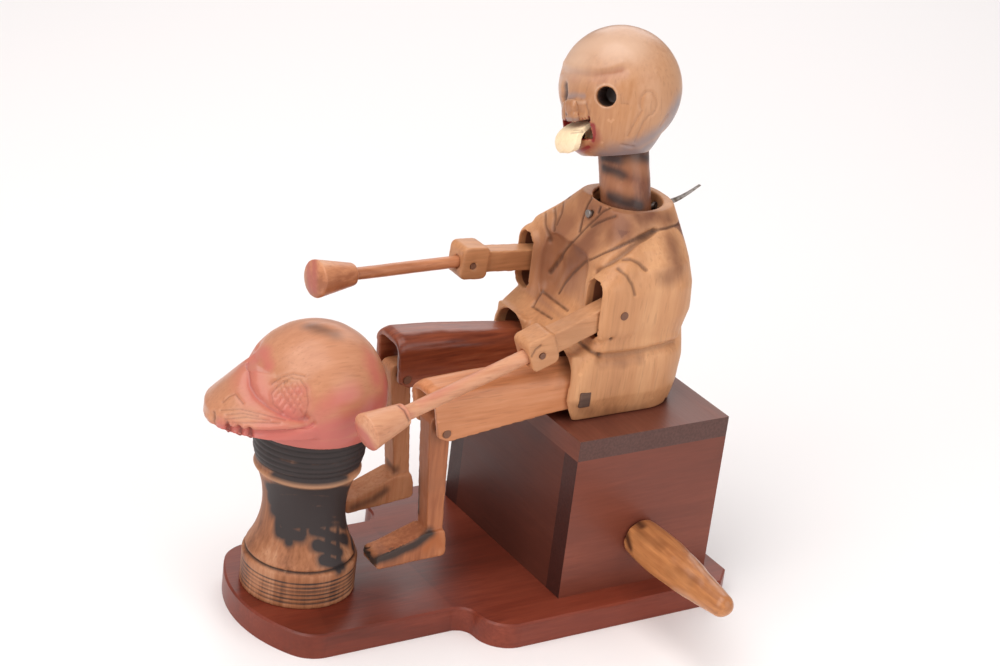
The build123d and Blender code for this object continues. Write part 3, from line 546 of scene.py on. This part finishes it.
# Painted shadow along the dome's crease, in the drum's red.
crease_shadow = [[(256, 347), (250, 354)] + crease]
carve(drum, crease_shadow, 1.5, 0.8, mark="paint_and_shade", amount=0.9)
carve(drum, [crease], 0.5, 0.35, amount=0.45)
gum_line = [[(228, 429), (250, 433.5), (270, 433), (292, 430.5), (312, 425)]]
carve(drum, gum_line, 1.0, 0.9, mark="paint_and_shade", amount=1.2)
carve(drum, [lip], 0.6, -0.35, mark=None)
roundel_edges = [
    roundel, [(272, 394), (273, 404), (283, 412)], [(272, 384), (281, 377), (293, 374), (304, 376)],
]
carve(drum, roundel_edges, 0.40, 0.35, amount=0.42)
scale_rows = [
    [(cx - 3.6, cy + 1.5), (cx - 2.2, cy - 1.8), (cx, cy - 2.6), (cx + 2.2, cy - 1.8), (cx + 3.6, cy + 1.5)]
    for row, cy in enumerate((384.5, 390, 395.5, 401, 406.5, 412))
    for cx in [x + 3.6 * (row % 2) for x in (279.5, 286.7, 293.9, 301.1)]
    if 275 < cx < 304 and cy > 384 + (cx - 290) ** 2 / 55 and cy < 404 + (cx - 275) * 0.45
]
carve(drum, scale_rows, 0.34, 0.32, amount=0.36)
beak_lines = [
    [(223, 402), (229, 396.5), (235, 394), (239, 399), (243, 403.5)],
    [(221, 410), (240, 409), (262, 414), (286, 419)], [(224, 419), (246, 417), (270, 420.5)],
    [(226, 414.5), (242, 413), (258, 416)], [(232, 422.5), (256, 422.5), (280, 423)],
]
carve(drum, beak_lines, 0.38, 0.25, amount=0.5)
teeth = [
    [(212.5, 412), (213.5, 424)], [(226, 423), (226.5, 434)], [(249, 429), (249.5, 441)],
    [(238, 427), (238.5, 438)],
]
carve(drum, teeth, 0.7, 0.8, amount=0.6)
peg_finish = timber("peg_wood", (0.38, 0.19, 0.10), (0.62, 0.34, 0.195), (0.78, 0.50, 0.33), run="Z")
dress(peg_finish, "stand_dowel", "drum_dowel", "torso_dowels")

# ---------------------------------------------------------------- robe
# One block of pale close-grained wood carved as a seated figure in a wrapped robe: hollow sleeves and lap,
# incised lapels and folds, a narrow belt, and brown handling stains over its collar and back.
robe_finish = timber(
    "robe_wood", (0.42, 0.185, 0.082), (0.56, 0.262, 0.118), (0.66, 0.345, 0.17), run="Z", figure=45,
    fibre=900, rough=0.46, stain_and_shade=(0.17, 0.060, 0.030), paint_and_shade=(0.29, 0.115, 0.054), relief=0.10, shine=0.10,
)
chest_hollow = ("DIFFERENCE", (7, -11.8, 73.5), (23.4, 11.8, 96), 6.5)
hip_bore_filling = ("UNION", (15.6, -20.4, 58.1), (19.0, -18.6, 61.5), 0.3)
sleeves_and_lap = [chest_hollow, hip_bore_filling]


def to_side(way, low, high):
    """Two corners given for the right side, kept there or mirrored to the left."""
    ends = sorted((way * low[1], way * high[1]))
    return (low[0], ends[0], low[2]), (high[0], ends[1], high[2])


for way in (-1, 1):
    for operation, low, high, radius in (
        ("UNION", (18.6, 11.4, 72.4), (34, 21.4, 91.0), 4.4),
        ("DIFFERENCE", (5, 13.2, 73.8), (33.6, 19.7, 89.4), 3.1),
        ("UNION", (14.6, 4.6, 63.5), (25.8, 18.3, 69.8), 0.3),
        ("DIFFERENCE", (2, 5.0, 44.0), (25.9, 18.1, 69.5), 5.6),
    ):
        sleeves_and_lap.append((operation, *to_side(way, low, high), radius))
robe = carved_copy(
    "torso", "frame", robe_finish, voxel=0.42, soften=9, ripple=0.25, spacing=9,
    blocks=sleeves_and_lap,
)
collar_stain = [[(640, 216), (655, 214), (668, 219)]]
wash(robe, collar_stain, 3.4, "stain_and_shade", 0.95)
shoulder_stains = [[(672, 240), (676, 262)], [(668, 276), (678, 268)]]
wash(robe, shoulder_stains, 3.4, "stain_and_shade", 0.7)
chest_stains = [[(595, 232), (578, 250), (572, 262)], [(612, 236), (630, 228)]]
wash(robe, chest_stains, 3.6, "stain_and_shade", 0.55)
# Painted shade down the front of the robe, laid with the robe's dark brown coat, which carries nothing else.
front_shade = [[(566, 226), (548, 255), (549, 280)], [(590, 208), (620, 224)], [(588, 240), (566, 270)]]
wash(robe, front_shade, 7.0, "paint_and_shade", 1.0)
# Painted shade inside the hollow sleeves and lap.
for way in (-1, 1):
    for low, high in (((22, 13, 73.4), (35, 19.9, 89.8)), ((17.5, 4.8, 51), (27, 18.3, 69.8))):
        soaked(robe, *to_side(way, low, high), amount=1.1)
soaked(robe, (28, -13, 84), (48.5, 13, 100), amount=0.9)
seat_smudges = [[(600, 363), (640, 360)], [(575, 405), (600, 414), (640, 408)]]
wash(robe, seat_smudges, 2.0, "stain_and_shade", 0.40)
lapels = [
    [(601, 188), (593, 195), (587, 205), (582, 219), (579.4, 231)],
    [(615, 205), (603, 211), (585, 228), (573, 241), (561, 255), (549, 273)],
    [(615, 216), (606, 219), (597, 223), (591, 226.6)],
    [
        (682, 223), (667, 228), (655, 230), (645, 235), (625, 243), (605, 252), (585, 262), (573, 273),
        (564, 284), (558.6, 293),
    ],
]
carve(robe, lapels, 0.5, 0.40, amount=0.95)
lapel_fold = [[(655, 230), (646, 236), (637, 242), (627, 250), (617, 257), (605, 264), (596, 271)]]
carve(robe, lapel_fold, 0.75, 0.7, amount=0.65)
folds = [
    [(623, 258), (631, 259), (640, 263), (647.4, 269.4)],
    [(618, 268), (627, 276), (633, 285), (635.4, 295)],
    [(545, 212), (545, 225), (549, 241)],
    [(554, 205), (555, 217), (553, 229)],
    [(563, 202), (561, 213), (556, 224)],
]
carve(robe, folds, 0.6, 0.45, amount=0.75)
shoulder_hollows = [[(612, 262), (628, 248), (650, 238)], [(640, 275), (650, 262)]]
carve(robe, shoulder_hollows, 2.4, 0.5, mark=None)
far_side_hollows = [[(552, 236), (546, 262), (545, 284)], [(560, 262), (551, 280)]]
carve(robe, far_side_hollows, 2.2, 0.8, mark=None)
belt = [
    [(542, 290), (551, 298), (567, 310)], [(532, 306), (543, 313), (551, 318)],
    [(542, 290), (536, 300), (533, 306)],
]
carve(robe, belt, 0.5, 0.55, amount=0.8)
waist = [(603, 357), (625, 355), (645, 351.5), (663, 347), (677, 342)]
# The waist cut is darkened as painted shade under the overhanging upper robe.
carve(robe, [waist], 1.7, 1.5, mark="groove", amount=0.40)
waist_ledge = [[(x, y - 6) for x, y in waist]]
carve(robe, waist_ledge, 1.1, -0.6, mark=None)
lap_crease = [[(576, 339), (591, 351), (603, 357)]]
carve(robe, lap_crease, 0.7, 0.7, amount=0.8)
small_hole = [[(611, 339.2), (611.8, 339.8)]]
carve(robe, small_hole, 0.45, 0.9, amount=1.0)
nail_crack = [[(600, 207), (598, 212)]]
carve(robe, nail_crack, 0.5, 0.5, amount=1.2)

hip_peg_seen = (585, 400)
plug_at = traced(robe, [hip_peg_seen, hip_peg_seen])[0][0]
plug_sunk = 0.00075
bpy.ops.object.select_all(action="DESELECT")
bpy.ops.mesh.primitive_cube_add(size=1, location=(plug_at.x, plug_at.y + plug_sunk, plug_at.z))
plug = bpy.context.object
plug.name = "square_hip_plug"
plug.scale = (0.0032, 0.0020, 0.0042)
bpy.ops.object.transform_apply()
bpy.ops.object.mode_set(mode="EDIT")
bpy.ops.mesh.select_all(action="SELECT")
bpy.ops.mesh.bevel(offset=0.0003, segments=2, affect="EDGES")
bpy.ops.mesh.subdivide(number_cuts=2, smoothness=0.1, fractal=0.1, seed=4)
bpy.ops.object.mode_set(mode="OBJECT")
plug_finish = timber(
    "plug_wood", (0.035, 0.018, 0.012), (0.075, 0.038, 0.026), (0.15, 0.08, 0.055), run="X", rough=0.5,
)
plug.data.materials.append(plug_finish)
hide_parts("left_hip_pin")
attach(plug, "frame")

# ---------------------------------------------------------------- legs
# Hollow thighs swing on pins in the lap, and shanks with carved feet swing inside them. The near thigh
# is pale orange, the far one dark and glossy, and both feet are scorched.


def arched(piece, middle, radius, edge=6.2, depth=5.0):
    """Rounds the crown of a hollow bar: points near its sides come down, inside and outside alike."""
    crown = {}
    for vertex in piece.data.vertices:
        slice_at = round(vertex.co.x * per_metre)
        crown[slice_at] = max(crown.get(slice_at, -1e9), vertex.co.z)
    for vertex in piece.data.vertices:
        aside = max(0.0, abs(vertex.co.y * per_metre - middle) - (edge - radius))
        drop = radius - math.sqrt(max(0.0, radius**2 - min(aside, radius) ** 2))
        below = (crown[round(vertex.co.x * per_metre)] - vertex.co.z) * per_metre
        vertex.co.z -= 0.85 * drop / per_metre * max(0.0, 1.0 - below / (2.2 * depth))
    piece.data.update()


leg_y = 11.55
for side, dark, middle, pale, shine in (
    ("left", (0.36, 0.125, 0.050), (0.58, 0.225, 0.095), (0.68, 0.31, 0.16), 0.15),
    ("right", (0.100, 0.018, 0.009), (0.27, 0.062, 0.025), (0.46, 0.15, 0.07), 0.3),
):
    thigh_finish = timber(
        f"{side}_thigh_wood", dark, middle, pale, run="X", rough=0.36, shine=shine,
        stain_and_shade=(0.07, 0.02, 0.012), relief=0.08,
    )
    thigh = carved_copy(
        f"{side}_thigh", f"{side}_thigh_group", thigh_finish, voxel=0.36, soften=5, ripple=0.15,
    )
    arched(thigh, -leg_y if side == "left" else leg_y, 4.6)
    if side == "left":
        thigh_smudge = [[(560, 345), (568, 368), (560, 385)]]
        wash(thigh, thigh_smudge, 2.6, "stain_and_shade", 0.4)
    shin_finish = timber(
        f"{side}_shin_wood", (0.28, 0.085, 0.035), (0.50, 0.185, 0.080), (0.60, 0.28, 0.135), run="Z",
        rough=0.45, stain_and_shade=(0.050, 0.032, 0.026), paint_and_shade=(0.42, 0.13, 0.045), grime=0.25,
    )
    shin = carved_copy(
        f"{side}_shin", f"{side}_shin_group", shin_finish, voxel=0.28, soften=6, ripple=0.2,
    )
    if side == "left":
        # Painted shade down the near shin's front face.
        shin_front_shade = [[(418, 450), (419.5, 480), (418, 512)]]
        wash(shin, shin_front_shade, 0.9, "stain_and_shade", 0.8)
        sole_scorch = [[(372, 562), (395, 553), (415, 545), (430, 533)]]
        wash(shin, sole_scorch, 1.7, "stain_and_shade", 1.2)
        toe_scorch = [[(362, 548), (372, 560)]]
        wash(shin, toe_scorch, 1.7, "stain_and_shade", 1.2)
        heel_red = [[(426, 549), (436, 535), (440, 545)]]
        wash(shin, heel_red, 1.6, "paint_and_shade", 0.9)
        toes = [[(358, 545 + 5 * toe), (369, 541.5 + 5.5 * toe)] for toe in range(4)]
        carve(shin, toes, 0.38, 0.45, amount=1.0)
    else:
        far_foot_scorch = [[(352, 508), (372, 500), (386, 490)], [(388, 462), (394, 470)]]
        wash(shin, far_foot_scorch, 1.4, "stain_and_shade", 0.7)
knee_finish = timber(
    "knee_pin_wood", (0.06, 0.025, 0.015), (0.13, 0.055, 0.030), (0.22, 0.10, 0.06), run="Y",
)
dress(
    knee_finish, "left_knee_pin", "right_knee_pin", "left_shoulder_pin", "right_shoulder_pin",
    "right_hip_pin",
)

# ---------------------------------------------------------------- arms and mallets
# Flat arms with round fists swing in the sleeves. Each fist grips a turned mallet held by its own pin.
arm_finish = timber(
    "arm_wood", (0.36, 0.150, 0.062), (0.54, 0.245, 0.110), (0.64, 0.33, 0.165), run="X", rough=0.42,
    stain_and_shade=(0.13, 0.065, 0.04), grime=0.15, shine=0.12, relief=0.08,
)
for side, rough, shine, face_red, dark, middle, pale in (
    ("left", 0.4, 0.15, (0.5, 0.15, 0.11), (0.44, 0.165, 0.082), (0.6, 0.275, 0.15), (0.7, 0.375, 0.225)),
    ("right", 0.38, 0.2, (0.42, 0.11, 0.08), (0.34, 0.115, 0.05), (0.56, 0.23, 0.11), (0.66, 0.32, 0.17)),
):
    arm = carved_copy(
        f"{side}_arm", f"{side}_arm_group", arm_finish, voxel=0.26, soften=16, ripple=0.25,
    )
    mallet_finish = timber(
        f"{side}_mallet_wood", dark, middle, pale, run="X", rough=rough, paint_and_shade=face_red,
        stain_and_shade=(0.20, 0.08, 0.05), shine=shine, relief=0.08,
    )
    mallet = carved_copy(
        f"{side}_mallet", f"{side}_arm_group", mallet_finish, voxel=0.24, soften=5,
        ripple=0.12,
    )
    if side == "left":
        neck_cut = [[(397.5, 404), (405, 410), (410, 421)]]
        carve(mallet, neck_cut, 0.42, 0.45, amount=0.7)
        face_red_rim = [[(352, 424), (366, 437), (372, 449)], [(356, 432), (366, 444)]]
        wash(mallet, face_red_rim, 1.7, "paint_and_shade", 1.2)
        stick_red = [[(400, 404), (412, 418)], [(420, 402), (515, 352)]]
        wash(mallet, stick_red, 1.4, "paint_and_shade", 0.42)
        thumb_cut = [[(532, 357), (536, 350), (541, 346)]]
        carve(arm, thumb_cut, 0.5, 0.35, amount=0.6)
    else:
        far_face_red = [[(308, 262), (310, 290)], [(314, 262), (314, 290)]]
        wash(mallet, far_face_red, 1.5, "paint_and_shade", 0.9)
dress(knee_finish, "left_hand_pin", "right_hand_pin")

# ---------------------------------------------------------------- head, neck and tongue
# A round bald head on a dark neck post that rocks in the collar. The eyes are drilled, the lips painted
# red, the ears and nose lightly incised, and the pale tongue swings on a pin inside the mouth.
head_finish = timber(
    "head_wood", (0.36, 0.150, 0.066), (0.47, 0.218, 0.100), (0.57, 0.300, 0.160), run="Z", figure=35,
    fibre=900, rough=0.33, paint_and_shade=(0.26, 0.024, 0.020), stain_and_shade=(0.27, 0.20, 0.195), bloom_and_highlight=(0.66, 0.43, 0.30),
    shine=0.35, relief=0.05,
)
head = carved_copy(
    "head", "head_group", head_finish, voxel=0.30, soften=3, ripple=0.25, spacing=10,
)
nape_edge_stain = [[(672, 112), (667, 124), (655, 135), (640, 144), (622, 149), (612, 151)]]
wash(head, nape_edge_stain, 2.8, "stain_and_shade", 0.85)
nape_stain = [[(606, 155), (640, 153), (655, 143), (668, 130), (678, 104)]]
wash(head, nape_stain, 3.2, "stain_and_shade", 1.0)
lip_edges = [
    [(562, 125), (593, 125)], [(593.5, 126), (594.5, 134), (593, 141)],
    [(589, 147), (578, 152), (566, 153)],
]
carve(head, lip_edges, 0.6, 0.1, mark="paint_and_shade", amount=1.3)
chin_blush = [[(596, 132), (597, 139), (592, 147)], [(588, 149), (574, 154)]]
wash(head, chin_blush, 1.3, "paint_and_shade", 0.6)
brow = [(559, 69.5), (570, 72), (581, 73.6), (597, 74.6), (610, 73), (622, 70)]
carve(head, [brow], 1.2, 0.6, mark="paint_and_shade", amount=0.32)
# Painted shade under the brow, in the dark lip colour.
brow_shade = [[(x, y + 4) for x, y in brow]]
carve(head, brow_shade, 2.2, 0.3, mark="paint_and_shade", amount=0.26)
brow_ridge = [[(x, y - 6) for x, y in brow]]
carve(head, brow_ridge, 1.7, -0.45, mark=None)
nose_bridge_and_tip = [[(569, 107), (577, 106.5), (587, 108)], [(569, 115), (578, 116), (587, 116)]]
carve(head, nose_bridge_and_tip, 2.2, -0.95, mark=None)
# The far eye's drilled hole is cut deeper and darkened as painted shade.
far_eye = [[(563.8, 86), (564.6, 92), (564.0, 99)]]
carve(head, far_eye, 1.15, 1.4, mark="groove", amount=1.5)


def oval(middle, radii, turns):
    """Points round an oval on the picture, at the given angles in degrees."""
    return [
        (middle[0] + radii[0] * math.cos(math.radians(a)), middle[1] + radii[1] * math.sin(math.radians(a)))
        for a in turns
    ]


near_eye = oval((606, 95.6), (11.2, 11.6), range(0, 361, 20))
wash(head, [near_eye], 0.25, "bloom_and_highlight", 0.55)
# Painted shade inside the hollow head: every point there is darkened like a cut.
skull_middle = Vector((0.038, 0.00987, 0.1295))
hollow_radius = 0.0143
darkened = marked(head, "groove")
for vertex in head.data.vertices:
    if (vertex.co - skull_middle).length < hollow_radius:
        darkened[vertex.index].value = 1.0
lean = math.radians(18.5)
neck_x, neck_z = 38, 100


def face_place(place):
    """A place in the leaning head's own millimetres: ahead of the neck's axis, to its right, and up it."""
    ahead, side, rise = neck_x - place.x * per_metre, place.y * per_metre, place.z * per_metre - neck_z
    across = side * math.cos(lean) - rise * math.sin(lean)
    return ahead, across, side * math.sin(lean) + rise * math.cos(lean)


mouth_middle = Vector((0.024, 0.0069, 0.12067))
reddened = marked(head, "paint_and_shade")
for vertex in head.data.vertices:
    ahead, side, rise = face_place(vertex.co)
    in_mouth = ahead > 1 and abs(side) < 9 and 15.5 < rise < 25.6
    if in_mouth and vertex.normal.dot(mouth_middle - vertex.co) > 0.0004:
        reddened[vertex.index].value = 1.5
nose = [
    [(587.5, 103), (589.5, 110), (590.5, 118)], [(568, 120.5), (580, 121.2), (591, 120)],
    [(566.5, 103), (566, 112), (567, 120)],
]
carve(head, nose, 0.45, 0.4, amount=0.4)
nostrils = [[(568.2, 113.4), (569.2, 114.2)], [(578.2, 114.8), (579.4, 115.4)]]
carve(head, nostrils, 0.4, 0.3, amount=1.0)
nostril_line = [[(567, 118.6), (581, 119.2)]]
carve(head, nostril_line, 0.4, 0.2, mark="stain_and_shade", amount=0.8)
# A raised line across the nose's root with a painted highlight along it.
nose_root_highlight = [[(565, 101.8), (586, 101.8)]]
carve(head, nose_root_highlight, 0.5, -0.25, mark="bloom_and_highlight", amount=0.5)
nose_smudge = [[(569, 96.5), (577, 95), (584, 96)]]
carve(head, nose_smudge, 0.8, 0.1, mark="stain_and_shade", amount=0.7)
ear = oval((649, 103.6), (8.3, 12), range(-215, 95, 12))
# Painted highlight across the forehead.
forehead_shine = [[(575, 50), (600, 42), (630, 45)], [(565, 62), (580, 58)]]
wash(head, forehead_shine, 7.0, "bloom_and_highlight", 0.9)
ear_lines = [ear, [(642, 112), (638, 118), (628, 136)], [(650, 115), (644, 122), (635, 142)]]
carve(head, ear_lines, 0.40, 0.28, amount=0.28)
face_cuts = [
    [(620.7, 95), (621.4, 103.6), (628, 104)], [(562, 103.6), (560.7, 122)], [(622, 145), (633, 147)],
    [(660, 126), (668, 114)],
]
carve(head, face_cuts, 0.36, 0.2, amount=0.35)
neck_finish = timber(
    "neck_wood", (0.10, 0.030, 0.015), (0.24, 0.082, 0.040), (0.40, 0.17, 0.085), run="Z", figure=60,
    fibre=900, rough=0.40, stain_and_shade=(0.060, 0.030, 0.024), bloom_and_highlight=(0.45, 0.19, 0.09), grime=0.55, shine=0.2,
)
neck = carved_copy(
    "neck_post", "head_group", neck_finish, voxel=0.32, soften=2, ripple=0.3, spacing=4,
)
neck_smudges = [[(603, 157), (620, 160), (652, 158)], [(610, 196), (640, 206)], [(604, 168), (622, 175)]]
wash(neck, neck_smudges, 1.7, "stain_and_shade", 1.1)
neck_rubs = [[(630, 165), (648, 172)], [(612, 183), (628, 190)]]
wash(neck, neck_rubs, 2.4, "bloom_and_highlight", 0.7)
tongue_finish = timber(
    "tongue_wood", (0.84, 0.58, 0.34), (0.95, 0.74, 0.47), (0.99, 0.82, 0.58), run="X", rough=0.40,
    stain_and_shade=(0.30, 0.18, 0.12), relief=0.06,
)
tongue = carved_copy(
    "tongue", "tongue_group", tongue_finish, voxel=0.22, soften=4, ripple=0.12, spacing=4,
)
pin_ahead, pin_rise = 10, 17.8
blade_inner, blade_middle, blade_outer, half_blade = 4.5, 6.6, 7.4, 4.8
tip_turn, tip_round, swell = 14, 3.2, 0.9
for vertex in tongue.data.vertices:
    ahead, side, rise = face_place(vertex.co)
    reach = math.hypot(ahead - pin_ahead, rise - pin_rise)
    turn = math.atan2(rise - pin_rise, ahead - pin_ahead)
    if reach < blade_inner:
        continue
    along = (math.degrees(turn) + tip_turn) * blade_outer * math.pi / 180
    root = min(1.0, max(0.0, (math.degrees(turn) - 5) / 60))
    root = root * root * (3 - 2 * root)
    corner = max(0.0, tip_round - along)
    rounded = half_blade - tip_round + math.sqrt(max(0.0, tip_round ** 2 - corner ** 2))
    side *= rounded / half_blade * (1 - 0.12 * root)
    raised = swell * (1 - (side / 5.4) ** 2) * (1 - root) if reach > blade_middle else 0
    reach = reach * (1 - 0.21 * root) + raised
    ahead, rise = pin_ahead + reach * math.cos(turn), pin_rise + reach * math.sin(turn)
    vertex.co = Vector((
        neck_x - ahead,
        rise * math.sin(lean) + side * math.cos(lean),
        neck_z + rise * math.cos(lean) - side * math.sin(lean),
    )) / per_metre
tongue.data.update()
tongue_lines = [[(571, 133), (583, 132)], [(574, 130), (582, 130)]]
carve(tongue, tongue_lines, 0.35, 0.1, mark="stain_and_shade", amount=0.7)

# ---------------------------------------------------------------- neck nail
# One long iron nail pins the neck in the collar. Its flattened tail sticks out behind, bent up and filed
# to a point.
nail = carved_copy(
    "neck_pin", "frame", nail_iron, voxel=0.17, soften=1, ripple=0.08, spacing=2,
)
nail_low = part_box("neck_pin")[0]
tail_start, tail_length, tail_slope = 0.0462, 0.0143, math.radians(17)
for vertex in nail.data.vertices:
    along = (vertex.co.x - tail_start) / tail_length
    if along > 0:
        axis_z = nail_low.z + 0.0011 + (vertex.co.x - 0.0456) * math.tan(tail_slope)
        thin = 1.45 - 1.25 * min(1.0, along) ** 1.5
        vertex.co.z = axis_z + (vertex.co.z - axis_z) * thin - 0.0012 * math.sin(math.pi * min(1.0, along))
        vertex.co.y *= 0.75
nail.data.update()

# ---------------------------------------------------------------- size
# The dressed toy keeps the CAD model's size, and its box is measured here.
size = [list(corner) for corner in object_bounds()]
